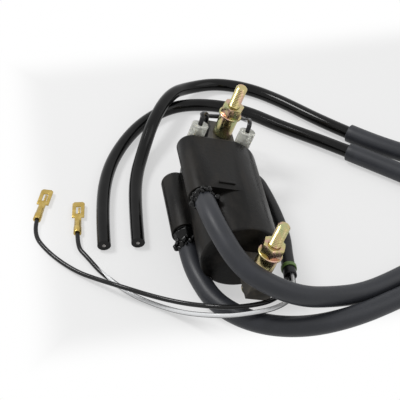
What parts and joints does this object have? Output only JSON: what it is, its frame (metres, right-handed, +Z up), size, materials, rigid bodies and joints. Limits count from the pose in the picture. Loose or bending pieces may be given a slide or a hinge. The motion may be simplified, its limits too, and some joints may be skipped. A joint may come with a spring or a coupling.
{
  "type": "ignition coil",
  "caption": "Ignition coil with a round black housing, two sleeved high-tension leads, a laminated core bar with mounting studs, and a wire tail with spade terminals.",
  "frame": {"origin": "on the floor under the middle of the housing, bar and studs", "axes": "+Y along the core bar to the terminal end, +X to the terminal side, +Z up; the coil lies rolled 19 degrees about Y on its round barrel"},
  "size_m": [0.2379, 0.1933, 0.0527],
  "materials": {
    "housing_plastic": "matte moulded black",
    "potting": "glossy black resin",
    "laminations": "varnished grey-brown laminations",
    "bobbin_plastic": "natural moulded",
    "enamelled_wire": "enamelled copper",
    "contact_metal": "bare",
    "sealant": "glossy",
    "lead_rubber": "glossy black",
    "strand_metal": "tinned copper strand",
    "sleeve_rubber": "satin dark grey",
    "harness_plastic": "satin black",
    "green_tape": "olive green",
    "wire_black": "glossy black",
    "wire_striped": "black with a white stripe",
    "yellow_zinc": "yellow zinc plated",
    "tab_brass": "bare",
    "boot_vinyl": "translucent off-white"
  },
  "bodies": {
    "coil": {"housing": "housing_plastic", "potting_resin": "potting", "core_bar": "laminations", "primary_bobbin": "bobbin_plastic", "secondary_bobbin": "bobbin_plastic", "primary_winding": "enamelled_wire", "secondary_winding": "enamelled_wire", "ht_contact_upper": "contact_metal", "ht_contact_lower": "contact_metal", "sealant_upper": "sealant", "sealant_lower": "sealant", "ht_lead_upper": "lead_rubber", "ht_lead_lower": "lead_rubber", "ht_strand_upper": "strand_metal", "ht_strand_lower": "strand_metal", "sleeve_upper": "sleeve_rubber", "sleeve_lower": "sleeve_rubber", "harness_sleeve": "harness_plastic", "green_band": "green_tape", "left_wire": "wire_black", "right_wire": "wire_striped", "left_short_wire": "wire_black", "right_short_wire": "wire_black", "near_stud": "yellow_zinc", "near_spacer": "yellow_zinc", "far_stud": "yellow_zinc", "far_spacer": "yellow_zinc", "left_tab": "tab_brass", "left_receptacle": "tab_brass", "left_boot": "boot_vinyl", "left_spade": "tab_brass", "right_tab": "tab_brass", "right_receptacle": "tab_brass", "right_boot": "boot_vinyl", "right_spade": "tab_brass"},
    "near_washer": {"near_washer": "yellow_zinc"},
    "near_nut": {"near_nut": "yellow_zinc"},
    "far_washer": {"far_washer": "yellow_zinc"},
    "far_nut": {"far_nut": "yellow_zinc"}
  },
  "joints": [
    {"name": "near_nut_lift", "type": "slide", "parent": "coil", "child": "near_washer", "axis": [0.3256, 0, 0.9455], "range_m": [0, 0.01]},
    {"name": "near_nut_turn", "type": "hinge", "parent": "near_washer", "child": "near_nut", "pos_m": [0.01662, -0.05, 0.03781], "axis": [0.3256, 0, 0.9455], "range_deg": [0, 3600]},
    {"name": "far_nut_lift", "type": "slide", "parent": "coil", "child": "far_washer", "axis": [0.3256, 0, 0.9455], "range_m": [0, 0.01]},
    {"name": "far_nut_turn", "type": "hinge", "parent": "far_washer", "child": "far_nut", "pos_m": [0.01662, 0.05, 0.03781], "axis": [0.3256, 0, 0.9455], "range_deg": [0, 3600]}
  ],
  "couplings": [
    {"joint": "near_nut_turn", "follows": "near_nut_lift", "rad_per_m": 6283.2},
    {"joint": "far_nut_turn", "follows": "far_nut_lift", "rad_per_m": 6283.2}
  ]
}
